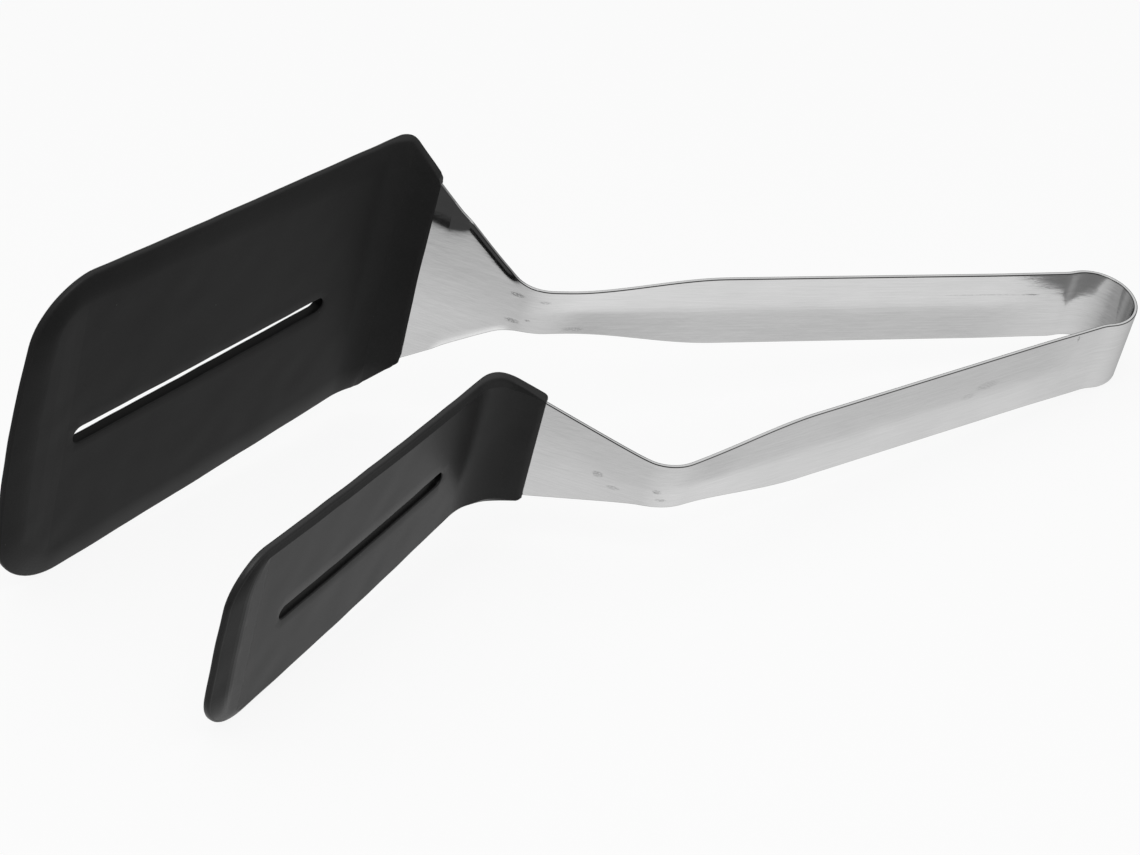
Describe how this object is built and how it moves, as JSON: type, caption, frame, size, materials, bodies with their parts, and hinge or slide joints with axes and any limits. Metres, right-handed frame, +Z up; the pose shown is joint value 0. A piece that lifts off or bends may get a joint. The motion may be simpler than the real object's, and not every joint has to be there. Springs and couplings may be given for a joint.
{
  "type": "spatula tongs",
  "caption": "Sprung kitchen tongs: a keyhole bow and two flat handles of one steel strip, cranked out to a wide and a narrow slotted spatula blade.",
  "frame": {"origin": "on the table, under the middle of the box round the tongs, which lie on their long edges at rest", "axes": "+X from the bow to the blades, +Y from the wide arm to the narrow arm, +Z up from the table"},
  "size_m": [0.314, 0.1396, 0.0943],
  "materials": {
    "steel": "satin",
    "silicone": "matt"
  },
  "bodies": {
    "wide_side": {"wide_arm": "steel", "spring_bow": "steel", "wide_blade": "silicone"},
    "narrow_side": {"narrow_arm": "steel", "narrow_blade": "silicone"}
  },
  "joints": [
    {"name": "squeeze", "type": "hinge", "parent": "wide_side", "child": "narrow_side", "pos_m": [-0.14303, 0.00118, 0.01406], "axis": [0.0982, -0.2488, -0.9636], "range_deg": [0, 16.1], "stiffness_Nm_per_rad": 6}
  ]
}
